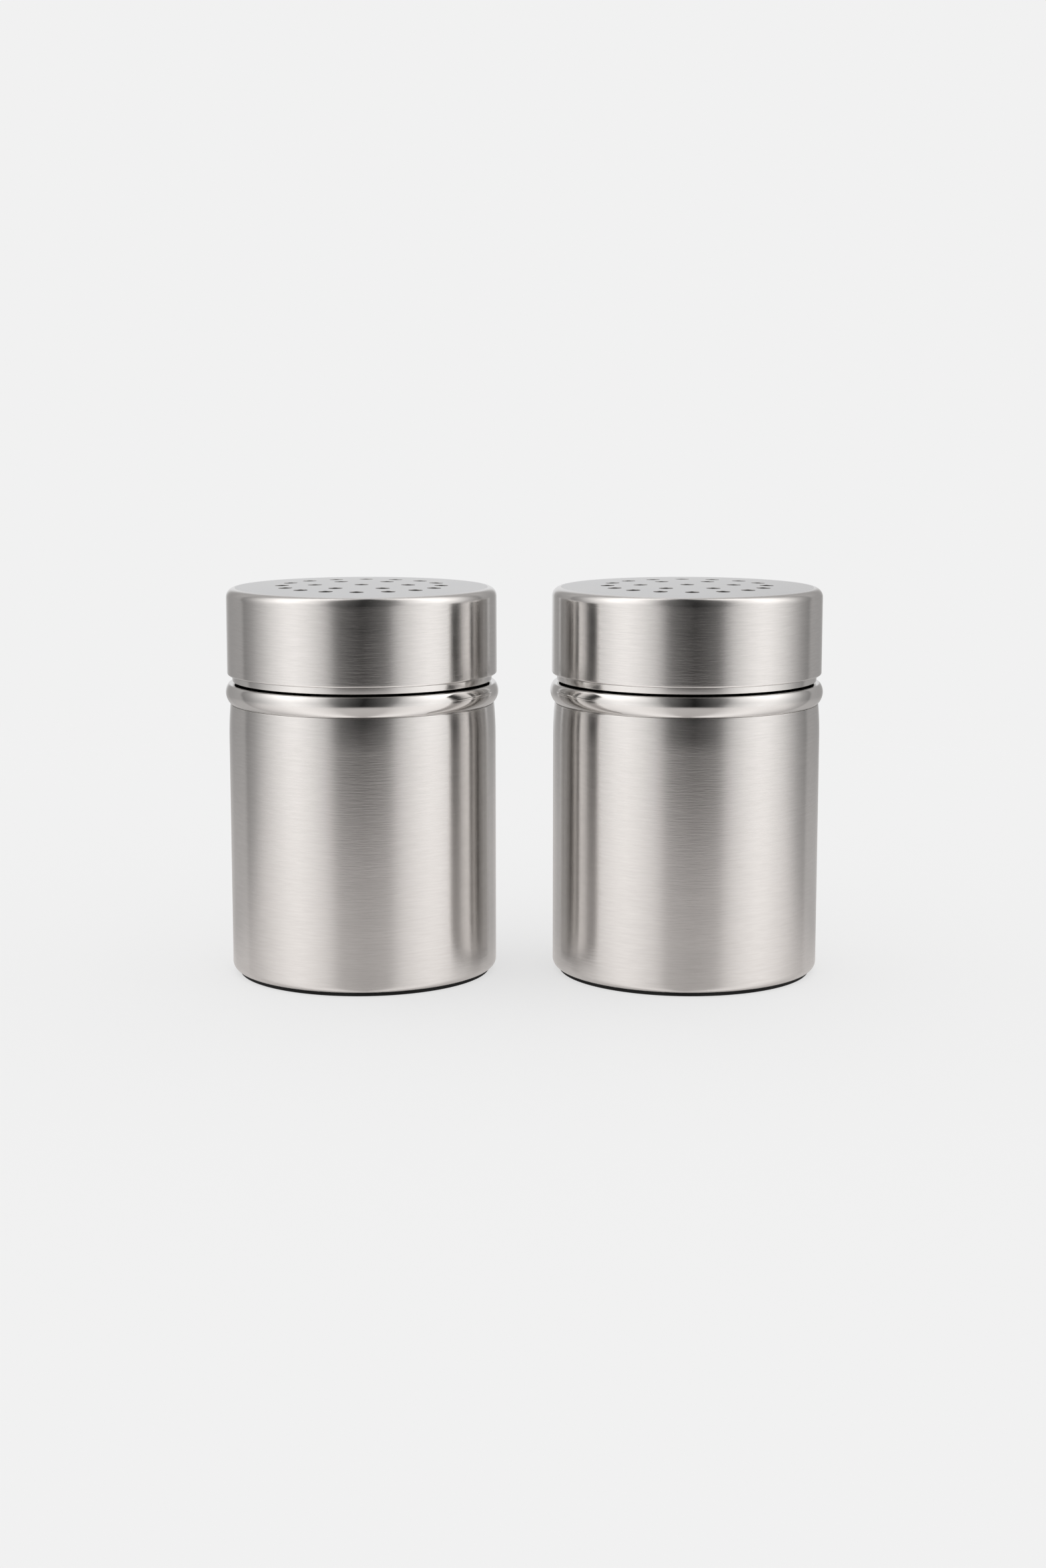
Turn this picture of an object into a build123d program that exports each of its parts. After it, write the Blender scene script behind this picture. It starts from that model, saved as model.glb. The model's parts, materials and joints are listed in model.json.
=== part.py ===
from build123d import *
import math
import os

# A set of two spice shakers: drawn steel cans with perforated screw lids.
# Millimetres, +Z up. The origin is on the table, midway between the two shakers.

# Overall sizes of the set
TOTAL_HEIGHT = 97.4
CAN_RADIUS = 33.3
LID_OVERHANG = 0.3
SHAKER_SPACING = 81.0
RUNNING_CLEARANCE = 0.1

# Drawn can
CAN_SHEET = 0.6
BASE_CORNER = 1.8
WAIST_DEPTH = 0.4
WAIST_LENGTH = 8.5
CAN_EDGE_ROUND = 0.2

# Non-slip pad glued under the can
PAD_HEIGHT = 0.9
PAD_OVERHANG = 0.1
PAD_EDGE_ROUND = 0.2

# Lid shell with its perforated top
LID_HEIGHT = 22.0
LID_SHEET = 0.5
LID_CORNER = 2.2
LID_DOME = 0.55
HEM_HEIGHT = 2.4
HOLE_DIAMETER = 3.5
HOLE_COUNTS = [1, 6, 16]
HOLE_RING_RADII = [0.0, 11.6, 19.8]

# Threaded ring held inside the lid shell
RING_SHEET = 0.5
RING_FIT = 0.05
RING_BEND = 0.5
RING_STEP_HEIGHT = 0.8
LIP_HEIGHT = 1.65
LIP_FIT = 0.15
FLANGE_CLEARANCE = 0.3

# Seal washer that lies on the ring's flange
SEAL_THICKNESS = 1.7
SEAL_WIDTH = 3.3
SEAL_EDGE_ROUND = 0.3

# Neck collar with its bead, pressed into the can
COLLAR_SHEET = 0.6
COLLAR_FIT = 0.05
SPIGOT_LENGTH = 4.5
BEAD_GAP = 0.55
BEAD_OVERHANG = 0.4
BEAD_UPPER_ROUND = 1.4
BEAD_LOWER_ROUND = 5.8
BEAD_LOWER_HEIGHT = 3.65
NECK_BEND = 0.9
RIM_ROUND = 0.9
RIM_CURL_ANGLE = 250.0

# Three-start thread rolled into the collar and the ring
THREAD_STARTS = 3
THREAD_LEAD = 15.0
THREAD_WIDTH = 2.2
THREAD_CREST = 0.8
THREAD_CLEARANCE = 0.15
COLLAR_RIDGE_HEIGHT = 1.0
COLLAR_RIDGE_ANGLE = 126.0
RING_RIDGE_HEIGHT = 1.5
RING_RIDGE_ANGLE = 70.0
RIDGE_ROOT = 0.15
RIDGE_CLEARANCE = 0.45
GROOVE_END_ANGLE = 3.0

# Heights that follow from the sizes above
lid_bottom = TOTAL_HEIGHT - LID_HEIGHT
lip_bottom = lid_bottom - LIP_HEIGHT
bead_top = lip_bottom - BEAD_GAP
bead_middle = bead_top - BEAD_UPPER_ROUND
can_top = bead_middle - BEAD_LOWER_HEIGHT
lid_corner_height = TOTAL_HEIGHT - LID_DOME - LID_CORNER
seal_top = TOTAL_HEIGHT - LID_DOME - LID_SHEET - RUNNING_CLEARANCE
seal_bottom = seal_top - SEAL_THICKNESS
flange_top = seal_bottom - RUNNING_CLEARANCE
rim_top = seal_bottom - RUNNING_CLEARANCE
hem_top = lid_bottom + HEM_HEIGHT
ring_step_top = hem_top + RING_STEP_HEIGHT

# Radii that follow from the sizes above
lid_radius = CAN_RADIUS + LID_OVERHANG
lid_inner_radius = lid_radius - LID_SHEET
hem_inner_radius = lid_inner_radius - LID_SHEET
lid_corner_radius = lid_radius - LID_CORNER
ring_outer_radius = lid_inner_radius - RING_FIT
ring_inner_radius = ring_outer_radius - RING_SHEET
lip_outer_radius = hem_inner_radius - LIP_FIT
spigot_radius = CAN_RADIUS - WAIST_DEPTH - CAN_SHEET - COLLAR_FIT
neck_radius = ring_inner_radius - RING_RIDGE_HEIGHT - RIDGE_CLEARANCE
neck_inner_radius = neck_radius - COLLAR_SHEET
bead_radius = lid_radius + BEAD_OVERHANG


def flank_half(height, depth):
    """Half the width of a ridge of this height, at this height above its root."""
    return (THREAD_WIDTH - (THREAD_WIDTH - THREAD_CREST) * depth / height) / 2


def ridge_offset():
    """How far the ring's ridges lie below the collar's, so that they just clear each other."""
    collar_crest = neck_radius + COLLAR_RIDGE_HEIGHT
    ring_crest = ring_inner_radius - RING_RIDGE_HEIGHT
    beside_ring_crest = flank_half(COLLAR_RIDGE_HEIGHT, ring_crest - neck_radius)
    beside_collar_crest = flank_half(RING_RIDGE_HEIGHT, ring_inner_radius - collar_crest)
    return max(beside_ring_crest, beside_collar_crest) + THREAD_CREST / 2 + THREAD_CLEARANCE


ring_ridge_start = ring_step_top + RING_SHEET + THREAD_WIDTH / 2
collar_ridge_start = ring_ridge_start + ridge_offset()


def turned(face):
    """Turn an outline of radius and height about the shaker's axis."""
    return revolve(Plane.XZ * face, Axis.Z)


def bent_sheet(lines, thickness):
    """Turn a bent sheet, given by the line through the middle of its thickness."""
    outline = offset(Wire(lines), thickness / 2, kind=Kind.ARC, side=Side.BOTH, closed=True)
    return turned(make_face(outline))


def ridge(root_radius, height, width, start_height, start_angle, angle):
    """A ridge with sloping flanks on a right-handed helix. A negative height points inwards."""
    root = math.copysign(RIDGE_ROOT, -height)
    crest = width * THREAD_CREST / THREAD_WIDTH
    section = Polyline((root, -width / 2), (0, -width / 2), (height, -crest / 2),
                       (height, crest / 2), (0, width / 2), (root, width / 2), close=True)
    rise = THREAD_LEAD * angle / 360
    path = Helix(THREAD_LEAD, rise, root_radius)
    axis = Line((0, 0, 0), (0, 0, rise))
    start = Plane(origin=path @ 0, x_dir=(1, 0, 0), z_dir=path % 0)
    swept = sweep(start * make_face(section), path=path, binormal=axis)
    return Pos(0, 0, start_height) * Rot(0, 0, start_angle) * swept


def add_thread(tube, face_radius, back_radius, height, sheet, start_height, angle):
    """Roll the thread's ridges into one face of a tube, with their hollows in the other."""
    groove_height = math.copysign(abs(height) - sheet, height) + face_radius - back_radius
    groove_width = THREAD_WIDTH - 1.5 * sheet
    groove_start = start_height + THREAD_LEAD * GROOVE_END_ANGLE / 360
    for start in range(THREAD_STARTS):
        turn = 360 / THREAD_STARTS * start
        tube += ridge(face_radius, height, THREAD_WIDTH, start_height, turn, angle)
        tube -= ridge(back_radius, groove_height, groove_width, groove_start,
                      turn + GROOVE_END_ANGLE, angle - 2 * GROOVE_END_ANGLE)
    return tube


def base_pad():
    """Round black pad that the can stands on."""
    radius = CAN_RADIUS - BASE_CORNER + PAD_OVERHANG
    pad = Pos(0, 0, PAD_HEIGHT / 2) * Cylinder(radius, PAD_HEIGHT)
    return fillet(pad.edges().group_by(Axis.Z)[0], PAD_EDGE_ROUND)


def can_outline():
    """Half section of the can: a floor, a round corner and a wall that draws in a little at the top."""
    corner = (CAN_RADIUS - BASE_CORNER, PAD_HEIGHT + BASE_CORNER)
    waist_round = (WAIST_LENGTH ** 2 + WAIST_DEPTH ** 2) / (2 * WAIST_DEPTH)
    outer_angle = math.degrees(math.asin(WAIST_LENGTH / waist_round))
    inner_angle = math.degrees(math.asin(WAIST_LENGTH / (waist_round - CAN_SHEET)))
    waist_centre = (CAN_RADIUS - waist_round, can_top - WAIST_LENGTH)
    outer_corner = CenterArc(corner, BASE_CORNER, -90, 90)
    outer_waist = CenterArc(waist_centre, waist_round, 0, outer_angle)
    inner_waist = CenterArc(waist_centre, waist_round - CAN_SHEET, inner_angle, -inner_angle)
    inner_corner = CenterArc(corner, BASE_CORNER - CAN_SHEET, 0, -90)
    floor_height = PAD_HEIGHT + CAN_SHEET
    return make_face([
        Line((0, PAD_HEIGHT), outer_corner @ 0),
        outer_corner,
        Line(outer_corner @ 1, outer_waist @ 0),
        outer_waist,
        Line(outer_waist @ 1, inner_waist @ 0),
        inner_waist,
        Line(inner_waist @ 1, inner_corner @ 0),
        inner_corner,
        Line(inner_corner @ 1, (0, floor_height)),
        Line((0, floor_height), (0, PAD_HEIGHT)),
    ])


def can():
    """Can drawn in one piece with its floor, with the outer edge of its mouth rounded."""
    body = turned(can_outline())
    mouth_edges = body.edges().group_by(Axis.Z)[-1].sort_by(SortBy.RADIUS)
    return fillet(mouth_edges[-1], CAN_EDGE_ROUND)


def neck_collar():
    """Sheet collar: a spigot in the can, the bead on its edge, the threaded neck and its rim."""
    half = COLLAR_SHEET / 2
    seat_height = can_top + half
    lower_centre = (bead_radius - BEAD_LOWER_ROUND, bead_middle)
    upper_centre = (bead_radius - BEAD_UPPER_ROUND, bead_middle)
    lower_angle = -math.degrees(math.asin((bead_middle - seat_height) / (BEAD_LOWER_ROUND - half)))
    neck_middle = neck_radius - half
    shoulder_height = bead_top - half
    bend_centre = (neck_middle + NECK_BEND, shoulder_height + NECK_BEND)
    rim_height = rim_top - RIM_ROUND
    spigot_middle = spigot_radius - half
    spigot = Line((spigot_middle, can_top - SPIGOT_LENGTH + half), (spigot_middle, seat_height))
    lower_bead = CenterArc(lower_centre, BEAD_LOWER_ROUND - half, lower_angle, -lower_angle)
    seat = Line(spigot @ 1, lower_bead @ 0)
    upper_bead = CenterArc(upper_centre, BEAD_UPPER_ROUND - half, 0, 90)
    bend = CenterArc(bend_centre, NECK_BEND, 270, -90)
    shoulder = Line(upper_bead @ 1, bend @ 0)
    neck = Line(bend @ 1, (neck_middle, rim_height))
    rim = CenterArc((neck_radius - RIM_ROUND, rim_height), RIM_ROUND - half, 0, RIM_CURL_ANGLE)
    collar = bent_sheet([spigot, seat, lower_bead, upper_bead, shoulder, bend, neck, rim], COLLAR_SHEET)
    return add_thread(collar, neck_radius, neck_inner_radius, COLLAR_RIDGE_HEIGHT,
                      COLLAR_SHEET, collar_ridge_start, COLLAR_RIDGE_ANGLE)


def lid_ring():
    """Threaded sheet ring: a lip below the lid's hem, a step over the hem and a flange on top."""
    half = RING_SHEET / 2
    lip_middle = lip_outer_radius - half
    wall_middle = ring_outer_radius - half
    flange_middle = flange_top - half
    points = [
        (lip_middle, lip_bottom + half),
        (lip_middle, hem_top),
        (wall_middle, ring_step_top),
        (wall_middle, flange_middle),
        (neck_radius + FLANGE_CLEARANCE + half, flange_middle),
    ]
    ring = bent_sheet(FilletPolyline(*points, radius=RING_BEND).edges(), RING_SHEET)
    return add_thread(ring, ring_inner_radius, ring_outer_radius, -RING_RIDGE_HEIGHT,
                      RING_SHEET, ring_ridge_start, RING_RIDGE_ANGLE)


def lid_seal():
    """Flat washer between the ring's flange and the top of the lid."""
    middle = (seal_top + seal_bottom) / 2
    washer = Cylinder(lid_corner_radius, SEAL_THICKNESS)
    washer -= Cylinder(lid_corner_radius - SEAL_WIDTH, SEAL_THICKNESS)
    washer = fillet(washer.edges(), SEAL_EDGE_ROUND)
    return Pos(0, 0, middle) * washer


def lid_outline():
    """Half section of the lid shell: a domed top, a round corner, a straight skirt and a folded hem."""
    corner = (lid_corner_radius, lid_corner_height)
    dome_round = (lid_corner_radius ** 2 + LID_DOME ** 2) / (2 * LID_DOME)
    dome_angle = math.degrees(math.asin(lid_corner_radius / dome_round))
    dome_centre = TOTAL_HEIGHT - dome_round
    top = CenterArc((0, dome_centre), dome_round, 90, -dome_angle)
    ceiling = CenterArc((0, dome_centre - LID_SHEET), dome_round, 90 - dome_angle, dome_angle)
    outer_corner = CenterArc(corner, LID_CORNER, 90, -90)
    inner_corner = CenterArc(corner, LID_CORNER - LID_SHEET, 0, 90)
    fold = CenterArc((lid_inner_radius, lid_bottom + LID_SHEET), LID_SHEET, 0, -180)
    return make_face([
        top,
        outer_corner,
        Line(outer_corner @ 1, fold @ 0),
        fold,
        Line(fold @ 1, (hem_inner_radius, hem_top)),
        Line((hem_inner_radius, hem_top), (lid_inner_radius, hem_top)),
        Line((lid_inner_radius, hem_top), inner_corner @ 0),
        inner_corner,
        ceiling,
        Line(ceiling @ 1, top @ 0),
    ])


def lid_shell():
    """Drawn lid with its hem, and with rings of round holes punched through its top."""
    shell = turned(lid_outline())
    for count, ring_radius in zip(HOLE_COUNTS, HOLE_RING_RADII):
        punch = Pos(ring_radius, 0, TOTAL_HEIGHT) * Cylinder(HOLE_DIAMETER / 2, 4 * LID_SHEET)
        for step in range(count):
            shell -= Rot(0, 0, 360 / count * step) * punch
    return shell


os.makedirs("parts", exist_ok=True)
pieces = {
    "base_pad": base_pad(),
    "can": can(),
    "neck_collar": neck_collar(),
    "lid_ring": lid_ring(),
    "lid_seal": lid_seal(),
    "lid_shell": lid_shell(),
}
for side, place in (("left", -SHAKER_SPACING / 2), ("right", SHAKER_SPACING / 2)):
    for name, piece in pieces.items():
        export_step(Pos(place, 0, 0) * piece, f"parts/{side}_{name}.step")
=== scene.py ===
import json
import math

import bpy
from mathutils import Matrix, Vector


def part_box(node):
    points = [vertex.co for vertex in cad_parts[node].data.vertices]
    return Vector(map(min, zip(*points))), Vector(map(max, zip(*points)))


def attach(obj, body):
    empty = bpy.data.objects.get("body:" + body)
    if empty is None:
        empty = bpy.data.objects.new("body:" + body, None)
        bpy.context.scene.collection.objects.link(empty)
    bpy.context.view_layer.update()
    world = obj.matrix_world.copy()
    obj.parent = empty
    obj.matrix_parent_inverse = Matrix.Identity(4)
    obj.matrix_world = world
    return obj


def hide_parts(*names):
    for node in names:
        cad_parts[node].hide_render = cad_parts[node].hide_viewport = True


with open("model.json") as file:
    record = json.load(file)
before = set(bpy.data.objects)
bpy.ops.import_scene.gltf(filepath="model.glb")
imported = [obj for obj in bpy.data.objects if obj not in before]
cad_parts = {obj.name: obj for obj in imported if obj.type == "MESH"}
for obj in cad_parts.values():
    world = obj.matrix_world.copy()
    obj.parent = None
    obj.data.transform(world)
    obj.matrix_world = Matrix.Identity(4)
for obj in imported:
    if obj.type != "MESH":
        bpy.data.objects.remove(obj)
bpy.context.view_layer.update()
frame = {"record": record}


# ---- The cans -------------------------------------------------------------------------------
# Each can is drawn from one disc of stainless sheet, so wall and floor are one piece with a
# round corner between them, and its wall draws in a little under the neck. The outside is
# brushed round with a fine belt, the inside keeps the duller face of the drawing die.

RING_POINTS = 192
CORNER_STEPS = 10
SMOOTH_BELOW = 40
FLAT_FACE_WEIGHT = 80
# How far beside a bend the ring of points stands that keeps the next stretch straight.
SUPPORT = 0.0006

CAN_WALL = 0.0006
CAN_CORNER = 0.0018
CAN_EDGE_ROUND = 0.0002
WAIST_DEPTH = 0.0004
WAIST_LENGTH = 0.0085
WAIST_STEPS = 8

BRUSHED_LIGHT = (0.735, 0.722, 0.71, 1)
BRUSHED_DARK = (0.685, 0.673, 0.66, 1)
DRAWN_LIGHT = (0.66, 0.65, 0.64, 1)
DRAWN_DARK = (0.56, 0.55, 0.54, 1)

# Along and across are how often a pattern changes in a metre, in those directions of its lines.
BRUSHING_ALONG = 180
BRUSHING_ACROSS = 2300
BRUSHING_DEPTH = 0.000031
STREAK_DETAIL = 3
STREAK_ROUGHNESS = 0.65
PATCH_FREQUENCY = (0.45, 0.45, 0.12)
PATCH_DETAIL = 2
PATTERN_MIDDLE = (0.3, 0.7)
QUARTER_TURN = 0.25

axes = {mount["name"]: mount["pos_m"][0] for mount in frame["record"]["mounts"]}
left_axis = axes["left_base"]
right_axis = axes["right_base"]


def arc(centre, radius, start, end, steps):
    """Points of radius and height along a round stretch of an outline, angles in degrees."""
    points = []
    for step in range(steps + 1):
        angle = math.radians(start + (end - start) * step / steps)
        points.append((centre[0] + radius * math.cos(angle), centre[1] + radius * math.sin(angle)))
    return points


def turn_sheet(name, outline, closed=False):
    """Pulls a ring of edges along an outline about the left shaker's axis."""
    radius, height = outline[0]
    bpy.ops.object.select_all(action="DESELECT")
    bpy.ops.mesh.primitive_circle_add(
        vertices=RING_POINTS, radius=radius, location=(left_axis, 0, height),
        fill_type="NGON" if closed else "NOTHING")
    piece = bpy.context.object
    piece.name = piece.data.name = name
    bpy.ops.object.transform_apply(location=True, rotation=False, scale=False)
    bpy.ops.object.mode_set(mode="EDIT")
    bpy.ops.mesh.select_mode(type="EDGE")
    bpy.ops.mesh.select_all(action="SELECT")
    if closed:
        bpy.ops.mesh.region_to_loop()
    for next_radius, next_height in outline[1:]:
        bpy.ops.mesh.extrude_edges_move(TRANSFORM_OT_translate={"value": (0, 0, next_height - height)})
        factor = next_radius / radius
        bpy.ops.transform.resize(value=(factor, factor, 1), center_override=(left_axis, 0, next_height))
        radius, height = next_radius, next_height
    bpy.ops.mesh.select_all(action="SELECT")
    bpy.ops.mesh.normals_make_consistent(inside=False)
    bpy.ops.object.mode_set(mode="OBJECT")
    return piece


def modify(piece, kind, **settings):
    """Adds a modifier with these settings and applies it."""
    bpy.context.view_layer.objects.active = piece
    modifier = piece.modifiers.new(kind.lower(), kind)
    for setting, value in settings.items():
        setattr(modifier, setting, value)
    bpy.ops.object.modifier_apply(modifier=modifier.name)


def round_edges(piece, width, steps=3, sharper_than=60):
    """Rounds the edges at which a piece turns by more than this angle in degrees."""
    modify(piece, "BEVEL", width=width, segments=steps, limit_method="ANGLE",
           angle_limit=math.radians(sharper_than))


def smooth(piece):
    """Smooth shading with crisp edges, with flat and straight stretches kept true."""
    bpy.ops.object.select_all(action="DESELECT")
    piece.select_set(True)
    bpy.context.view_layer.objects.active = piece
    bpy.ops.object.shade_smooth_by_angle(angle=math.radians(SMOOTH_BELOW))
    modify(piece, "WEIGHTED_NORMAL", keep_sharp=True, weight=FLAT_FACE_WEIGHT)


def copy_to_right(piece, name):
    """The same piece for the right shaker, with a mesh of its own."""
    bpy.ops.object.select_all(action="DESELECT")
    piece.select_set(True)
    bpy.context.view_layer.objects.active = piece
    bpy.ops.object.duplicate_move(TRANSFORM_OT_translate={"value": (right_axis - left_axis, 0, 0)})
    twin = bpy.context.object
    twin.name = twin.data.name = name
    bpy.ops.object.transform_apply(location=True, rotation=False, scale=False)
    return twin


def new_group(name, inputs, outputs):
    """A node group with these sockets, and the nodes that it starts and ends with."""
    group = bpy.data.node_groups.new(name, "ShaderNodeTree")
    for socket in inputs:
        kind = "NodeSocketVector" if socket == "Vector" else "NodeSocketFloat"
        group.interface.new_socket(socket, in_out="INPUT", socket_type=kind)
    for socket in outputs:
        group.interface.new_socket(socket, in_out="OUTPUT", socket_type="NodeSocketFloat")
    return group, group.nodes.new("NodeGroupInput"), group.nodes.new("NodeGroupOutput")


def multiply(nodes, link, vector, factors):
    """A vector or colour times another, which comes from a socket or is given in plain numbers."""
    product = nodes.new("ShaderNodeVectorMath")
    product.operation = "MULTIPLY"
    link(vector, product.inputs[0])
    if isinstance(factors, tuple):
        product.inputs[1].default_value = factors
    else:
        link(factors, product.inputs[1])
    return product.outputs["Vector"]


def brushing_group():
    """Fine lines that run round a shaker: streaks for each line and patches for uneven pressure."""
    group, start, end = new_group("round brushing", ("Vector", "Along", "Across"), ("Streaks", "Patches"))
    nodes, link = group.nodes, group.links.new
    frequency = nodes.new("ShaderNodeCombineXYZ")
    link(start.outputs["Along"], frequency.inputs["X"])
    link(start.outputs["Along"], frequency.inputs["Y"])
    link(start.outputs["Across"], frequency.inputs["Z"])
    scaled = multiply(nodes, link, start.outputs["Vector"], frequency.outputs["Vector"])
    streaks = nodes.new("ShaderNodeTexNoise")
    streaks.inputs["Scale"].default_value = 1
    streaks.inputs["Detail"].default_value = STREAK_DETAIL
    streaks.inputs["Roughness"].default_value = STREAK_ROUGHNESS
    link(scaled, streaks.inputs["Vector"])
    patches = nodes.new("ShaderNodeTexNoise")
    patches.inputs["Scale"].default_value = 1
    patches.inputs["Detail"].default_value = PATCH_DETAIL
    link(multiply(nodes, link, scaled, PATCH_FREQUENCY), patches.inputs["Vector"])
    link(streaks.outputs["Fac"], end.inputs["Streaks"])
    link(patches.outputs["Fac"], end.inputs["Patches"])
    return group


round_brushing = brushing_group()


def new_material(name):
    """A material with its nodes and the call that links them."""
    material = bpy.data.materials.new(name)
    material.use_nodes = True
    return material, material.node_tree.nodes, material.node_tree.links.new


def lay_pattern(nodes, link, group, **values):
    """Places a pattern's group in a material, laid out by the place on the piece."""
    place = nodes.new("ShaderNodeTexCoord")
    pattern = nodes.new("ShaderNodeGroup")
    pattern.node_tree = group
    for socket, value in values.items():
        pattern.inputs[socket].default_value = value
    link(place.outputs["Object"], pattern.inputs["Vector"])
    return pattern.outputs


def spread(nodes, link, value, low, high):
    """Maps a pattern's useful middle range to low and high."""
    ramp = nodes.new("ShaderNodeMapRange")
    ramp.inputs["From Min"].default_value = PATTERN_MIDDLE[0]
    ramp.inputs["From Max"].default_value = PATTERN_MIDDLE[1]
    ramp.inputs["To Min"].default_value = low
    ramp.inputs["To Max"].default_value = high
    link(value, ramp.inputs["Value"])
    return ramp.outputs["Result"]


def vary(nodes, link, colour_pattern, colours, roughness_pattern, roughness):
    """Lets one pattern choose between two colours, and another between two roughnesses."""
    shader = nodes["Principled BSDF"]
    mix = nodes.new("ShaderNodeMix")
    mix.data_type = "RGBA"
    mix.inputs["A"].default_value = colours[0]
    mix.inputs["B"].default_value = colours[1]
    link(spread(nodes, link, colour_pattern, 0, 1), mix.inputs["Factor"])
    link(mix.outputs["Result"], shader.inputs["Base Color"])
    link(spread(nodes, link, roughness_pattern, *roughness), shader.inputs["Roughness"])


def emboss(nodes, link, pattern, strength, depth):
    """Lets a pattern stand out from the surface."""
    bump = nodes.new("ShaderNodeBump")
    bump.inputs["Strength"].default_value = strength
    bump.inputs["Distance"].default_value = depth
    link(pattern, bump.inputs["Height"])
    link(bump.outputs["Normal"], nodes["Principled BSDF"].inputs["Normal"])


def brushed_steel(name, colours, roughness, anisotropy, strength):
    """Steel brushed round, with a highlight that spreads across the lines."""
    material, nodes, link = new_material(name)
    shader = nodes["Principled BSDF"]
    shader.inputs["Metallic"].default_value = 1
    shader.inputs["Anisotropic"].default_value = anisotropy
    shader.inputs["Anisotropic Rotation"].default_value = QUARTER_TURN
    brushing = lay_pattern(nodes, link, round_brushing, Along=BRUSHING_ALONG, Across=BRUSHING_ACROSS)
    vary(nodes, link, brushing["Streaks"], colours, brushing["Patches"], roughness)
    emboss(nodes, link, brushing["Streaks"], strength, BRUSHING_DEPTH)
    return material


can_low, can_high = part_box("left_can")
can_radius = can_high.x - left_axis
can_outline = arc((can_radius - CAN_CORNER, can_low.z + CAN_CORNER), CAN_CORNER, -90, 0, CORNER_STEPS)
can_outline.append((can_radius, can_low.z + CAN_CORNER + SUPPORT))
waist_round = (WAIST_LENGTH ** 2 + WAIST_DEPTH ** 2) / (2 * WAIST_DEPTH)
waist_angle = math.degrees(math.asin(WAIST_LENGTH / waist_round))
waist_centre = (can_radius - waist_round, can_high.z - WAIST_LENGTH)
can_outline += arc(waist_centre, waist_round, 0, waist_angle, WAIST_STEPS)
left_can = turn_sheet("left_can_drawn", can_outline, closed=True)
modify(left_can, "SOLIDIFY", thickness=CAN_WALL, offset=-1)
round_edges(left_can, CAN_EDGE_ROUND)
smooth(left_can)

brushed = brushed_steel(
    "steel brushed round", (BRUSHED_DARK, BRUSHED_LIGHT),
    roughness=(0.175, 0.2), anisotropy=0.85, strength=0.58)
drawn = brushed_steel(
    "steel as drawn", (DRAWN_DARK, DRAWN_LIGHT),
    roughness=(0.34, 0.42), anisotropy=0.3, strength=0.15)
can_finishes = [brushed, drawn]
for finish in can_finishes:
    left_can.data.materials.append(finish)


def inside_of(face, axis_x, radius):
    """Whether a face lies within this distance of the axis."""
    return math.hypot(face.center.x - axis_x, face.center.y) < radius


inner_limit = can_radius - (WAIST_DEPTH + CAN_WALL) / 2
for face in left_can.data.polygons:
    if inside_of(face, left_axis, inner_limit) and face.center.z > can_low.z + CAN_WALL / 2:
        face.material_index = can_finishes.index(drawn)
right_can = copy_to_right(left_can, "right_can_drawn")
for side, can in (("left", left_can), ("right", right_can)):
    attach(can, f"{side}_shaker")
    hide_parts(f"{side}_can")


# ---- The neck collars -----------------------------------------------------------------------
# A collar of its own sheet closes each can: a spigot pressed into it, a bead that sits on its
# edge, and the neck with three short thread ridges and a rolled rim. It is polished all over.

COLLAR_SHEET = 0.0006
BEAD_GAP = 0.00047
BEAD_UPPER_HEIGHT = 0.0022
BEAD_UPPER_ROUND = 0.0034
BEAD_SHOULDER_ROUND = 0.0007
BEAD_LOWER_ROUND = 0.004
BEAD_LOWER_STEPS = 10
BEAD_UPPER_STEPS = 8
BEAD_SHOULDER_STEPS = 8
SPIGOT_FIT = 0.00005
NECK_RADIUS = 0.0306
NECK_BEND = 0.0006
BEND_STEPS = 6
RIM_ROUND = 0.0009
RIM_CURL = 250
RIM_STEPS = 20

THREAD_STARTS = 3
THREAD_LEAD = 0.015
THREAD_WIDTH = 0.0022
COLLAR_RIDGE_HEIGHT = 0.001
COLLAR_RIDGE_ANGLE = 126
COLLAR_RIDGE_START = 0.08153
RIDGE_ROOT = 0.00015
RIDGE_CREST = 0.4
RIDGE_ROUND = 0.0003
RIDGE_ROUND_STEPS = 4
RIDGE_STEPS = 64
RIDGE_RUN_OUT = 0.0055
RIDGE_END = 0.12

POLISHED_LIGHT = (0.78, 0.77, 0.755, 1)
POLISHED_DARK = (0.72, 0.71, 0.70, 1)
BUFFING_ALONG = 90
BUFFING_ACROSS = 2600
BUFFING_DEPTH = 0.00003
BUFFING_STRENGTH = 0.12
BUFFING_ANISOTROPY = 0.4
SMUDGE_FREQUENCY = 70
SMUDGE_DETAIL = 3


def join(piece, parts):
    """Joins parts into a piece."""
    bpy.ops.object.select_all(action="DESELECT")
    for part in parts:
        part.select_set(True)
    piece.select_set(True)
    bpy.context.view_layer.objects.active = piece
    bpy.ops.object.join()


def run_out(ridge, ring, root_radius):
    """Lets a ridge sink into its root towards the end that this ring of its vertices closes."""
    bpy.ops.object.mode_set(mode="EDIT")
    bpy.ops.mesh.select_all(action="DESELECT")
    bpy.ops.object.mode_set(mode="OBJECT")
    places = []
    for index in ring:
        ridge.data.vertices[index].select = True
        places.append(ridge.data.vertices[index].co.copy())
    middle = [sum(place[axis] for place in places) / len(places) for axis in range(3)]
    inwards = root_radius / math.hypot(middle[0], middle[1])
    bpy.ops.object.mode_set(mode="EDIT")
    bpy.ops.transform.resize(
        value=(RIDGE_END, RIDGE_END, RIDGE_END),
        center_override=(middle[0] * inwards, middle[1] * inwards, middle[2]),
        use_proportional_edit=True, proportional_edit_falloff="SMOOTH", proportional_size=RIDGE_RUN_OUT)
    bpy.ops.object.mode_set(mode="OBJECT")


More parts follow.
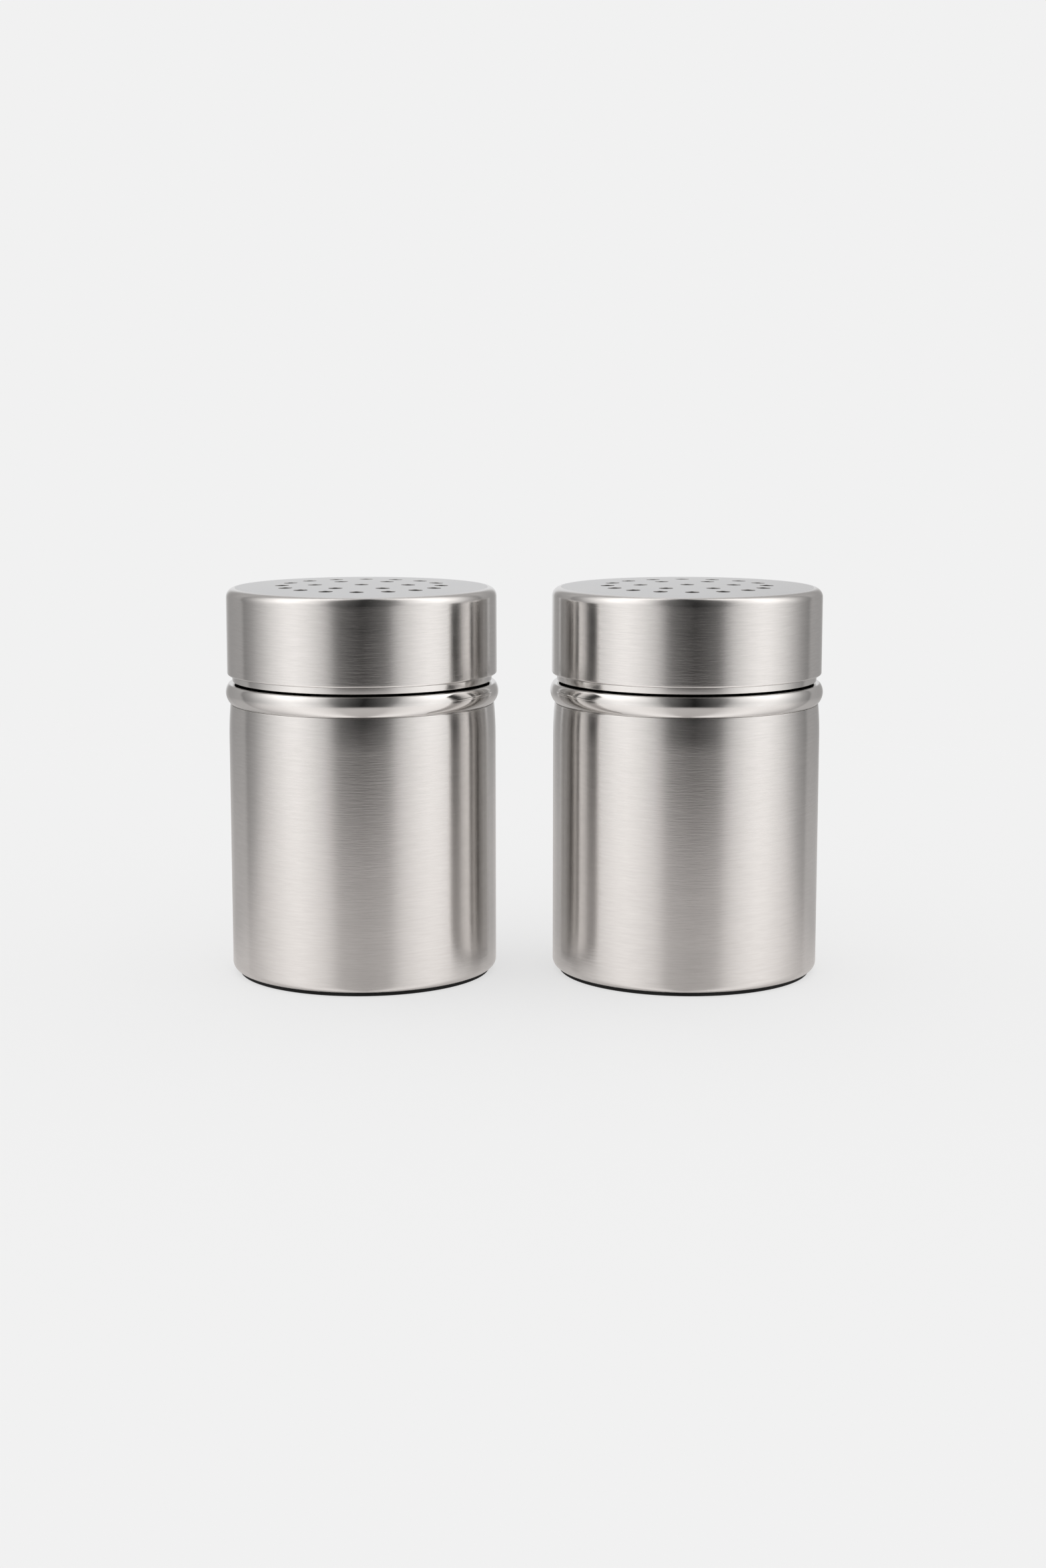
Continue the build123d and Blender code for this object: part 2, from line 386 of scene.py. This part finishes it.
def ridge_section(root_radius, height, start_height):
    """The upright section of a ridge: wide at its root, narrower at its crest, with round corners."""
    root = math.copysign(RIDGE_ROOT, -height)
    bpy.ops.object.select_all(action="DESELECT")
    bpy.ops.mesh.primitive_plane_add(
        size=1, location=(root_radius + (height + root) / 2, 0, start_height), rotation=(math.pi / 2, 0, 0))
    ridge = bpy.context.object
    ridge.scale = (abs(height) + RIDGE_ROOT, THREAD_WIDTH, 1)
    bpy.ops.object.transform_apply(location=True, rotation=True, scale=True)
    bpy.ops.object.mode_set(mode="EDIT")
    bpy.ops.mesh.select_all(action="DESELECT")
    bpy.ops.mesh.select_mode(type="VERT")
    bpy.ops.object.mode_set(mode="OBJECT")
    for vertex in ridge.data.vertices:
        vertex.select = abs(vertex.co.x - root_radius - height) < RIDGE_ROOT
    bpy.ops.object.mode_set(mode="EDIT")
    bpy.ops.transform.resize(
        value=(1, 1, RIDGE_CREST), center_override=(root_radius + height, 0, start_height))
    bpy.ops.mesh.bevel(offset=RIDGE_ROUND, segments=RIDGE_ROUND_STEPS, affect="VERTICES")
    bpy.ops.object.mode_set(mode="OBJECT")
    return ridge


def thread_ridge(root_radius, height, start_height, turn, angle):
    """One ridge of the thread, wound up a right-handed helix. A negative height points inwards."""
    ridge = ridge_section(root_radius, height, start_height)
    corners = len(ridge.data.vertices)
    modify(ridge, "SCREW", angle=math.radians(angle), screw_offset=THREAD_LEAD * angle / 360,
           steps=RIDGE_STEPS, render_steps=RIDGE_STEPS, use_merge_vertices=True)
    bpy.ops.object.mode_set(mode="EDIT")
    bpy.ops.mesh.select_all(action="SELECT")
    bpy.ops.mesh.fill_holes(sides=corners)
    bpy.ops.mesh.normals_make_consistent(inside=False)
    bpy.ops.object.mode_set(mode="OBJECT")
    total = len(ridge.data.vertices)
    run_out(ridge, range(corners), root_radius)
    run_out(ridge, range(total - corners, total), root_radius)
    ridge.rotation_euler.z = math.radians(turn)
    ridge.location.x = left_axis
    bpy.ops.object.transform_apply(location=True, rotation=True, scale=False)
    return ridge


def thread(root_radius, height, start_height, angle):
    """All the ridges of a thread, evenly round the axis."""
    return [
        thread_ridge(root_radius, height, start_height, 360 / THREAD_STARTS * start, angle)
        for start in range(THREAD_STARTS)
    ]


def clouding_group():
    """Soft patches, as wiping, wear and dust leave them on a surface."""
    group, start, end = new_group("clouding", ("Vector", "Frequency", "Detail"), ("Patches",))
    nodes, link = group.nodes, group.links.new
    clouds = nodes.new("ShaderNodeTexNoise")
    link(start.outputs["Vector"], clouds.inputs["Vector"])
    link(start.outputs["Frequency"], clouds.inputs["Scale"])
    link(start.outputs["Detail"], clouds.inputs["Detail"])
    link(clouds.outputs["Fac"], end.inputs["Patches"])
    return group


clouding = clouding_group()


def lay_clouds(nodes, link, frequency, detail):
    """Soft patches over a piece, changing this often in a metre."""
    return lay_pattern(nodes, link, clouding, Frequency=frequency, Detail=detail)["Patches"]


def polished_steel(name, roughness):
    """Polished steel with faint lines from the buffing wheel and a breath of smudging."""
    material, nodes, link = new_material(name)
    shader = nodes["Principled BSDF"]
    shader.inputs["Metallic"].default_value = 1
    shader.inputs["Anisotropic"].default_value = BUFFING_ANISOTROPY
    shader.inputs["Anisotropic Rotation"].default_value = QUARTER_TURN
    buffing = lay_pattern(nodes, link, round_brushing, Along=BUFFING_ALONG, Across=BUFFING_ACROSS)
    smudges = lay_clouds(nodes, link, SMUDGE_FREQUENCY, SMUDGE_DETAIL)
    vary(nodes, link, smudges, (POLISHED_DARK, POLISHED_LIGHT), smudges, roughness)
    emboss(nodes, link, buffing["Streaks"], BUFFING_STRENGTH, BUFFING_DEPTH)
    return material


collar_low, collar_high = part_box("left_neck_collar")
ring_low, ring_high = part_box("left_lid_ring")
bead_radius = collar_high.x - left_axis
spigot_radius = can_radius - WAIST_DEPTH - CAN_WALL - SPIGOT_FIT
bead_top = ring_low.z - BEAD_GAP
bead_middle = bead_top - BEAD_UPPER_HEIGHT
rim_middle = collar_high.z - RIM_ROUND
bead_tuck = -math.degrees(math.asin((bead_middle - can_high.z) / BEAD_LOWER_ROUND))
lower_centre = (bead_radius - BEAD_LOWER_ROUND, bead_middle)
upper_centre = (bead_radius - BEAD_UPPER_ROUND, bead_middle)
shoulder_reach = BEAD_UPPER_ROUND - BEAD_SHOULDER_ROUND
shoulder_rise = BEAD_UPPER_HEIGHT - BEAD_SHOULDER_ROUND
shoulder_angle = math.asin(shoulder_rise / shoulder_reach)
shoulder_turn = math.degrees(shoulder_angle)
shoulder_centre = (upper_centre[0] + shoulder_reach * math.cos(shoulder_angle), bead_middle + shoulder_rise)

collar_outline = [(spigot_radius, collar_low.z), (spigot_radius, can_high.z)]
collar_outline += arc(lower_centre, BEAD_LOWER_ROUND, bead_tuck, 0, BEAD_LOWER_STEPS)
collar_outline += arc(upper_centre, BEAD_UPPER_ROUND, 0, shoulder_turn, BEAD_UPPER_STEPS)[1:]
collar_outline += arc(shoulder_centre, BEAD_SHOULDER_ROUND, shoulder_turn, 90, BEAD_SHOULDER_STEPS)[1:]
collar_outline += arc((NECK_RADIUS + NECK_BEND, bead_top + NECK_BEND), NECK_BEND, 270, 180, BEND_STEPS)
collar_outline += [
    (NECK_RADIUS, bead_top + NECK_BEND + SUPPORT),
    (NECK_RADIUS, rim_middle - SUPPORT),
]
collar_outline += arc((NECK_RADIUS - RIM_ROUND, rim_middle), RIM_ROUND, 0, RIM_CURL, RIM_STEPS)
left_collar = turn_sheet("left_collar_polished", collar_outline)
modify(left_collar, "SOLIDIFY", thickness=COLLAR_SHEET, offset=-1)
join(left_collar, thread(NECK_RADIUS, COLLAR_RIDGE_HEIGHT, COLLAR_RIDGE_START, COLLAR_RIDGE_ANGLE))
smooth(left_collar)
polished = polished_steel("polished steel", roughness=(0.07, 0.12))
left_collar.data.materials.append(polished)
right_collar = copy_to_right(left_collar, "right_collar_polished")
for side, collar in (("left", left_collar), ("right", right_collar)):
    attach(collar, f"{side}_shaker")
    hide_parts(f"{side}_neck_collar")


# ---- The lid shells -------------------------------------------------------------------------
# Each lid is a shallow drawn cap. Its top is satin, crowned a little and punched with rings of
# round holes, its skirt is brushed round, and its lower edge is folded inwards as a hem.

LID_SHEET = 0.0005
FOLD_SLACK = 0.00004
FOLD_STEPS = 12
LID_CORNER = 0.0022
LID_DOME = 0.00055
HEM_HEIGHT = 0.0024
DOME_RINGS = (0.005, 0.0085, 0.0155, 0.0235, 0.0285, 0.0312)

# The holes stand in rings, each given by its count and its radius.
HOLE_RADIUS = 0.00175
HOLE_RINGS = ((1, 0.0), (6, 0.0116), (16, 0.0198))
HOLE_POINTS = 40
HOLE_ROUND = 0.00009
HOLE_ROUND_STEPS = 3
PUNCH_LENGTH = 0.003
RIM_TOLERANCE = 0.00002

SATIN_LIGHT = (0.71, 0.71, 0.71, 1)
SATIN_DARK = (0.66, 0.66, 0.665, 1)
SATIN_ROUGHNESS = (0.30, 0.36)
SATIN_FREQUENCY = 60
SATIN_DETAIL = 2
GRAIN_FREQUENCY = 5200
GRAIN_DETAIL = 3
GRAIN_STRENGTH = 0.25
GRAIN_DEPTH = 0.00002
# The walls of the holes are coloured far darker than the steel. This is painted shade for the dark inside
# of the holes.
HOLE_WALL_PAINTED_SHADE_LIGHT = (0.34, 0.33, 0.32, 1)
HOLE_WALL_PAINTED_SHADE_DARK = (0.16, 0.155, 0.15, 1)

# The height of a face's normal above which the face counts as level, and below which as a wall.
LEVEL_ABOVE = 0.5
WALL_BELOW = 0.3

lid_low, lid_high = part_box("left_lid_shell")
lid_radius = lid_high.x - left_axis


def dome_drop(radius):
    """How far the crowned top has dropped at this radius."""
    return LID_DOME * (radius / (lid_radius - LID_CORNER)) ** 2


def on_rim(ends, centres):
    """Whether an edge with these ends runs along the rim of one of the holes."""
    if abs(ends[0].z - ends[1].z) > LID_SHEET / 4:
        return False
    if min(end.z for end in ends) < lid_high.z - 3 * LID_SHEET:
        return False
    for centre in centres:
        reach = [math.dist(centre, end[:2]) for end in ends]
        if max(abs(distance - HOLE_RADIUS) for distance in reach) < RIM_TOLERANCE:
            return True
    return False


def punch_holes(lid):
    """Cuts the holes with one joined set of round punches, then rounds the edges they leave."""
    centres = []
    punches = []
    for count, circle in HOLE_RINGS:
        for step in range(count):
            angle = 2 * math.pi * step / count
            centre = (left_axis + circle * math.cos(angle), circle * math.sin(angle))
            centres.append(centre)
            bpy.ops.mesh.primitive_cylinder_add(
                vertices=HOLE_POINTS, radius=HOLE_RADIUS, depth=PUNCH_LENGTH,
                location=(*centre, lid_high.z - LID_SHEET))
            punches.append(bpy.context.object)
    punch = punches[0]
    join(punch, punches[1:])
    modify(lid, "BOOLEAN", operation="DIFFERENCE", solver="EXACT", object=punch)
    bpy.data.objects.remove(punch)
    bpy.context.view_layer.objects.active = lid
    for vertex in lid.data.vertices:
        vertex.select = False
    for face in lid.data.polygons:
        face.select = False
    for edge in lid.data.edges:
        edge.select = on_rim([lid.data.vertices[index].co for index in edge.vertices], centres)
    bpy.ops.object.mode_set(mode="EDIT")
    bpy.ops.mesh.select_mode(type="EDGE")
    bpy.ops.mesh.bevel(offset=HOLE_ROUND, segments=HOLE_ROUND_STEPS, affect="EDGES")
    bpy.ops.object.mode_set(mode="OBJECT")


def satin_steel():
    """Steel with an even satin face: a fine grain under faint clouds."""
    material, nodes, link = new_material("satin steel")
    nodes["Principled BSDF"].inputs["Metallic"].default_value = 1
    clouds = lay_clouds(nodes, link, SATIN_FREQUENCY, SATIN_DETAIL)
    grain = lay_clouds(nodes, link, GRAIN_FREQUENCY, GRAIN_DETAIL)
    vary(nodes, link, clouds, (SATIN_DARK, SATIN_LIGHT), clouds, SATIN_ROUGHNESS)
    emboss(nodes, link, grain, GRAIN_STRENGTH, GRAIN_DEPTH)
    return material


corner_centre = (lid_radius - LID_CORNER, lid_high.z - LID_DOME - LID_CORNER)
fold_centre = (lid_radius - LID_SHEET, lid_low.z + LID_SHEET)
lid_outline = [(radius, lid_high.z - dome_drop(radius)) for radius in DOME_RINGS]
lid_outline += arc(corner_centre, LID_CORNER, 90, 0, CORNER_STEPS)
lid_outline += [
    (lid_radius, corner_centre[1] - SUPPORT),
    (lid_radius, fold_centre[1] + SUPPORT),
]
lid_outline += arc(fold_centre, LID_SHEET, 0, -180, FOLD_STEPS)
lid_outline.append((lid_radius - 2 * LID_SHEET, lid_low.z + HEM_HEIGHT))
left_lid = turn_sheet("left_lid_drawn", lid_outline, closed=True)
modify(left_lid, "SOLIDIFY", thickness=LID_SHEET - FOLD_SLACK, offset=-1)
punch_holes(left_lid)
smooth(left_lid)

lid_brushed = brushed_steel(
    "lid steel brushed round", (BRUSHED_DARK, BRUSHED_LIGHT),
    roughness=(0.16, 0.185), anisotropy=0.85, strength=0.85)
satin = satin_steel()
# The hole walls get this dark colour as painted shade, not as a finish of the cut steel.
hole_walls_painted_shade = brushed_steel(
    "steel of hole walls with painted shade", (HOLE_WALL_PAINTED_SHADE_DARK, HOLE_WALL_PAINTED_SHADE_LIGHT),
    roughness=(0.5, 0.6), anisotropy=0, strength=0.5)
lid_finishes = [lid_brushed, satin, polished, drawn, hole_walls_painted_shade]
for finish in lid_finishes:
    left_lid.data.materials.append(finish)
for face in left_lid.data.polygons:
    if inside_of(face, left_axis, lid_radius - LID_SHEET / 2) and face.normal.z < LEVEL_ABOVE:
        face.material_index = lid_finishes.index(drawn)
    # Upright faces near the middle are the walls of the holes, and they get the painted shade.
    if inside_of(face, left_axis, lid_radius - 2 * LID_CORNER) and abs(face.normal.z) < WALL_BELOW:
        face.material_index = lid_finishes.index(hole_walls_painted_shade)
    if inside_of(face, left_axis, lid_radius - LID_CORNER) and face.normal.z > LEVEL_ABOVE:
        face.material_index = lid_finishes.index(satin)
    if face.center.z < fold_centre[1]:
        face.material_index = lid_finishes.index(polished)
right_lid = copy_to_right(left_lid, "right_lid_drawn")
for side, lid in (("left", left_lid), ("right", right_lid)):
    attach(lid, f"{side}_lid")
    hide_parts(f"{side}_lid_shell")


# ---- The threaded rings in the lids ---------------------------------------------------------
# A ring of sheet carries the thread that grips the collar. The hem of the lid holds it, its
# lower lip shows as a narrow bright band under the hem, and the seal lies on its flange.

RING_SHEET = 0.0005
RING_EDGE_ROUND = 0.00018
RING_EDGE_ANGLE = 70
LIP_FIT = 0.00015
LIP_DRAW = 0.00012
STEP_HEIGHT = 0.0008
RING_BEND = 0.0005
FLANGE_CLEARANCE = 0.0003
RING_RIDGE_HEIGHT = 0.0015
RING_RIDGE_ANGLE = 70
RING_RIDGE_START = 0.0802

ring_radius = ring_high.x - left_axis
lip_radius = lid_radius - 2 * LID_SHEET - LIP_FIT
hem_top = lid_low.z + HEM_HEIGHT
ring_outline = [
    (lip_radius - LIP_DRAW, ring_low.z),
    (lip_radius, lid_low.z),
    (lip_radius, hem_top - RING_BEND),
    (ring_radius, hem_top + STEP_HEIGHT),
    (ring_radius, hem_top + STEP_HEIGHT + SUPPORT),
]
ring_outline += arc((ring_radius - RING_BEND, ring_high.z - RING_BEND), RING_BEND, 0, 90, BEND_STEPS)
ring_outline.append((NECK_RADIUS + FLANGE_CLEARANCE, ring_high.z))
left_ring = turn_sheet("left_ring_threaded", ring_outline)
modify(left_ring, "SOLIDIFY", thickness=RING_SHEET, offset=-1)
round_edges(left_ring, RING_EDGE_ROUND, sharper_than=RING_EDGE_ANGLE)
join(left_ring, thread(ring_radius - RING_SHEET, -RING_RIDGE_HEIGHT, RING_RIDGE_START, RING_RIDGE_ANGLE))
smooth(left_ring)
left_ring.data.materials.append(polished_steel("polished ring steel", roughness=(0.10, 0.15)))
right_ring = copy_to_right(left_ring, "right_ring_threaded")
for side, ring in (("left", left_ring), ("right", right_ring)):
    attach(ring, f"{side}_lid")
    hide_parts(f"{side}_lid_ring")


# ---- The seals ------------------------------------------------------------------------------
# A flat washer of milky silicone lies on the ring's flange, under the top of the lid. The rim
# of the neck closes against it.

SEAL_INNER_RADIUS = 0.0281
SEAL_ROUND = 0.00035
SEAL_ROUND_STEPS = 4
SEAL_WELD = 0.00001
SILICONE = (0.74, 0.745, 0.73, 1)
SILICONE_SHADE = (0.66, 0.665, 0.65, 1)
SILICONE_ROUGHNESS = (0.42, 0.55)
SILICONE_MILKINESS = 0.3
SILICONE_GLOW_DEPTH = (0.001, 0.001, 0.0009)
SILICONE_FREQUENCY = 220
SILICONE_DETAIL = 2


def milky_silicone():
    """Milky silicone that lets a little light in, a shade uneven."""
    material, nodes, link = new_material("milky silicone")
    shader = nodes["Principled BSDF"]
    shader.inputs["Subsurface Weight"].default_value = SILICONE_MILKINESS
    shader.inputs["Subsurface Radius"].default_value = SILICONE_GLOW_DEPTH
    clouds = lay_clouds(nodes, link, SILICONE_FREQUENCY, SILICONE_DETAIL)
    vary(nodes, link, clouds, (SILICONE_SHADE, SILICONE), clouds, SILICONE_ROUGHNESS)
    return material


seal_low, seal_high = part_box("left_lid_seal")
seal_radius = seal_high.x - left_axis
seal_outline = [
    (SEAL_INNER_RADIUS, seal_low.z),
    (seal_radius, seal_low.z),
    (seal_radius, seal_high.z),
    (SEAL_INNER_RADIUS, seal_high.z),
    (SEAL_INNER_RADIUS, seal_low.z),
]
left_seal = turn_sheet("left_seal_silicone", seal_outline)
modify(left_seal, "WELD", merge_threshold=SEAL_WELD)
round_edges(left_seal, SEAL_ROUND, steps=SEAL_ROUND_STEPS)
smooth(left_seal)
left_seal.data.materials.append(milky_silicone())
right_seal = copy_to_right(left_seal, "right_seal_silicone")
for side, seal in (("left", left_seal), ("right", right_seal)):
    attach(seal, f"{side}_seal")
    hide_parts(f"{side}_lid_seal")


# ---- The base pads --------------------------------------------------------------------------
# A thin disc of black foam rubber is glued under each can, a little narrower than the can, so
# only its edge shows as a black line on the table.

PAD_ROUND = 0.0002
RUBBER = (0.006, 0.006, 0.006, 1)
RUBBER_DUSTY = (0.016, 0.016, 0.016, 1)
RUBBER_ROUGHNESS = (0.62, 0.8)
RUBBER_GLOSS = 0.15
PORE_FREQUENCY = 2600
PORE_STRENGTH = 0.5
PORE_DEPTH = 0.0001
DUST_FREQUENCY = 120
DUST_DETAIL = 4


def foam_rubber():
    """Black foam rubber with open pores and a little dust."""
    material, nodes, link = new_material("black foam rubber")
    nodes["Principled BSDF"].inputs["Specular IOR Level"].default_value = RUBBER_GLOSS
    dust = lay_clouds(nodes, link, DUST_FREQUENCY, DUST_DETAIL)
    vary(nodes, link, dust, (RUBBER, RUBBER_DUSTY), dust, RUBBER_ROUGHNESS)
    place = nodes.new("ShaderNodeTexCoord")
    pores = nodes.new("ShaderNodeTexVoronoi")
    pores.inputs["Scale"].default_value = PORE_FREQUENCY
    link(place.outputs["Object"], pores.inputs["Vector"])
    emboss(nodes, link, pores.outputs["Distance"], PORE_STRENGTH, PORE_DEPTH)
    return material


pad_low, pad_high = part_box("left_base_pad")
bpy.ops.object.select_all(action="DESELECT")
bpy.ops.mesh.primitive_cylinder_add(
    vertices=RING_POINTS, radius=pad_high.x - left_axis, depth=pad_high.z - pad_low.z,
    location=(left_axis, 0, (pad_low.z + pad_high.z) / 2))
left_pad = bpy.context.object
left_pad.name = left_pad.data.name = "left_pad_rubber"
bpy.ops.object.transform_apply(location=True, rotation=False, scale=False)
round_edges(left_pad, PAD_ROUND)
smooth(left_pad)
left_pad.data.materials.append(foam_rubber())
right_pad = copy_to_right(left_pad, "right_pad_rubber")
for side, pad in (("left", left_pad), ("right", right_pad)):
    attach(pad, f"{side}_shaker")
    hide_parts(f"{side}_base_pad")


# ---- The table and the studio ---------------------------------------------------------------
# The shakers stand on a pale round table top that fades into the pale backdrop. The studio
# round them is what the steel reflects: dark behind the camera and over it, a broad soft light
# at each side that is brightest high up, dim corners past the lights, and a pale rear wall.

TABLE_RADIUS = 0.7
TABLE_POINTS = 128
TABLE_COLOUR = (0.28, 0.28, 0.28, 1)
TABLE_GLOW = (0.607, 0.607, 0.607, 1)
TABLE_COLOUR_IN_METAL = (0.472, 0.45, 0.44, 1)
TABLE_GLOW_IN_METAL = (0.59, 0.56, 0.545, 1)
TABLE_ROUGHNESS = 0.9
TABLE_EDGE = (0.3, 0.55)
TABLE_SHARE_IN_METAL = 0.53
TABLE_EDGE_IN_METAL = (0.15, 0.52)
TABLE_BEHIND = (-0.03, 0.05)
TABLE_SHARE_BEHIND = 0.35
BACKDROP = (0.88, 0.88, 0.88, 1)

# The light that comes from each bearing, in degrees to either side of the way to the camera.
STUDIO = (
    (0, 0.01),
    (9, 0.05),
    (18, 0.12),
    (23, 0.24),
    (27, 0.44),
    (34, 0.70),
    (46, 0.98),
    (58, 1.14),
    (68, 1.10),
    (82, 0.86),
    (94, 0.60),
    (106, 0.38),
    (118, 0.26),
    (123, 0.41),
    (150, 0.35),
    (180, 0.5),
)
HALF_ROUND = 180
# How far the studio is turned to the right, and how much the dark leans over the shakers.
STUDIO_TURN = 3.5
STUDIO_TILT = 0.49
STUDIO_WARMTH = (1.025, 1.0, 0.985)
HIGH_LIGHT = 0.42
HIGH_LIGHT_RISE = (0.1, 0.8)
AMBIENT = (0.98, 0.98, 0.98, 1)
REAR_WALL = (0.79, 0.79, 0.795, 1)
REAR_WALL_SHARE = (0.88, 0.96)
REAR_WALL_RISE = (-0.17, -0.07)
CAMERA_PLACE = (-0.00034, -0.6421, 0.14955)
CAMERA_PITCH = 9.06
CAMERA_LENS = 59.3
CAMERA_SENSOR = 36
CAMERA_NEAREST = 0.01


def calculate(nodes, link, operation, *values):
    """One step of arithmetic between sockets or numbers."""
    step = nodes.new("ShaderNodeMath")
    step.operation = operation
    for socket, value in zip(step.inputs, values):
        if isinstance(value, (int, float)):
            socket.default_value = value
        else:
            link(value, socket)
    return step.outputs["Value"]


def fade_between(nodes, link, value, ends, low=0, high=1):
    """Goes smoothly from low to high as the value passes from one end to the other."""
    fade = nodes.new("ShaderNodeMapRange")
    fade.interpolation_type = "SMOOTHSTEP"
    fade.inputs["From Min"].default_value = ends[0]
    fade.inputs["From Max"].default_value = ends[1]
    fade.inputs["To Min"].default_value = low
    fade.inputs["To Max"].default_value = high
    link(value, fade.inputs["Value"])
    return fade.outputs["Result"]


def mix_shaders(nodes, link, share, first, second):
    """A blend of two shaders, with this share of the second."""
    mixed = nodes.new("ShaderNodeMixShader")
    link(share, mixed.inputs["Fac"])
    link(first, mixed.inputs[1])
    link(second, mixed.inputs[2])
    return mixed.outputs["Shader"]


def make_dull(shader, colour, glow):
    """Sets a shader to a dull surface that is lifted by a glow of its own."""
    shader.inputs["Base Color"].default_value = colour
    shader.inputs["Roughness"].default_value = TABLE_ROUGHNESS
    shader.inputs["Specular IOR Level"].default_value = 0
    shader.inputs["Emission Color"].default_value = glow
    shader.inputs["Emission Strength"].default_value = 1
    return shader.outputs["BSDF"]


bpy.ops.object.select_all(action="DESELECT")
bpy.ops.mesh.primitive_circle_add(vertices=TABLE_POINTS, radius=TABLE_RADIUS, fill_type="TRIFAN")
table = bpy.context.object
table.name = table.data.name = "table_top"
table_material, nodes, link = new_material("pale table top")
plain = make_dull(nodes["Principled BSDF"], TABLE_COLOUR, TABLE_GLOW)
in_metal = make_dull(nodes.new("ShaderNodeBsdfPrincipled"), TABLE_COLOUR_IN_METAL, TABLE_GLOW_IN_METAL)
clear = nodes.new("ShaderNodeBsdfTransparent").outputs["BSDF"]
place = nodes.new("ShaderNodeTexCoord").outputs["Object"]
distance = nodes.new("ShaderNodeVectorMath")
distance.operation = "LENGTH"
link(place, distance.inputs[0])
depth = nodes.new("ShaderNodeSeparateXYZ")
link(place, depth.inputs["Vector"])

# To the eye the table fades into the backdrop.
faded = fade_between(nodes, link, distance.outputs["Value"], TABLE_EDGE)
seen_top = mix_shaders(nodes, link, faded, plain, clear)

# In the metal it fades sooner, is never whole, and shows less behind the shakers.
near = fade_between(
    nodes, link, distance.outputs["Value"], TABLE_EDGE_IN_METAL, low=TABLE_SHARE_IN_METAL, high=0)
in_front = fade_between(nodes, link, depth.outputs["Y"], TABLE_BEHIND, low=1, high=TABLE_SHARE_BEHIND)
metal_share = calculate(nodes, link, "MULTIPLY", near, in_front)
metal_top = mix_shaders(nodes, link, metal_share, clear, in_metal)
path = nodes.new("ShaderNodeLightPath")
top = mix_shaders(nodes, link, path.outputs["Is Glossy Ray"], seen_top, metal_top)
link(top, nodes["Material Output"].inputs["Surface"])
table.data.materials.append(table_material)

world = bpy.data.worlds.new("studio")
bpy.context.scene.world = world
world.use_nodes = True
nodes, link = world.node_tree.nodes, world.node_tree.links.new

# The bearing of a direction, as a share of the half round from the front to the back.
direction = nodes.new("ShaderNodeTexCoord")
parts = nodes.new("ShaderNodeSeparateXYZ")
link(direction.outputs["Generated"], parts.inputs["Vector"])
upwards = calculate(nodes, link, "MAXIMUM", parts.outputs["Z"], 0)
tilted = calculate(nodes, link, "MULTIPLY", upwards, STUDIO_TILT)
towards = calculate(nodes, link, "SUBTRACT", tilted, parts.outputs["Y"])
bearing = calculate(nodes, link, "ARCTAN2", parts.outputs["X"], towards)
turned = calculate(nodes, link, "SUBTRACT", bearing, math.radians(STUDIO_TURN))
share = calculate(nodes, link, "DIVIDE", calculate(nodes, link, "ABSOLUTE", turned), math.pi)

# The light from that bearing, warmed, and brighter high up.
studio = nodes.new("ShaderNodeValToRGB")
stops = studio.color_ramp.elements
for stop, (angle, light) in zip((stops[0], stops[1]), (STUDIO[0], STUDIO[-1])):
    stop.position = angle / HALF_ROUND
    stop.color = (light, light, light, 1)
for angle, light in STUDIO[1:-1]:
    stops.new(angle / HALF_ROUND).color = (light, light, light, 1)
link(share, studio.inputs["Fac"])
raised = fade_between(nodes, link, parts.outputs["Z"], HIGH_LIGHT_RISE, low=1, high=1 + HIGH_LIGHT)
lit = nodes.new("ShaderNodeVectorMath")
lit.operation = "SCALE"
link(multiply(nodes, link, studio.outputs["Color"], STUDIO_WARMTH), lit.inputs[0])
link(raised, lit.inputs["Scale"])

# The rear wall stands behind the table.
behind = fade_between(nodes, link, share, REAR_WALL_SHARE)
above = fade_between(nodes, link, parts.outputs["Z"], REAR_WALL_RISE)
round_about = nodes.new("ShaderNodeMix")
round_about.data_type = "RGBA"
round_about.inputs["B"].default_value = REAR_WALL
link(calculate(nodes, link, "MULTIPLY", behind, above), round_about.inputs["Factor"])
link(lit.outputs["Vector"], round_about.inputs["A"])

# The eye sees the plain backdrop, metal reflects the studio, and even light falls on the rest.
seen = nodes.new("ShaderNodeBackground")
seen.inputs["Color"].default_value = BACKDROP
reflected = nodes.new("ShaderNodeBackground")
link(round_about.outputs["Result"], reflected.inputs["Color"])
ambient = nodes.new("ShaderNodeBackground")
ambient.inputs["Color"].default_value = AMBIENT
path = nodes.new("ShaderNodeLightPath")
for_metal = mix_shaders(
    nodes, link, path.outputs["Is Glossy Ray"],
    ambient.outputs["Background"], reflected.outputs["Background"])
for_camera = mix_shaders(nodes, link, path.outputs["Is Camera Ray"], for_metal, seen.outputs["Background"])
link(for_camera, nodes["World Output"].inputs["Surface"])
bpy.context.scene.view_settings.view_transform = "Standard"

bpy.ops.object.camera_add(location=CAMERA_PLACE, rotation=(math.radians(90 - CAMERA_PITCH), 0, 0))
camera = bpy.context.object
camera.data.lens = CAMERA_LENS
camera.data.sensor_width = CAMERA_SENSOR
camera.data.clip_start = CAMERA_NEAREST
bpy.context.scene.camera = camera
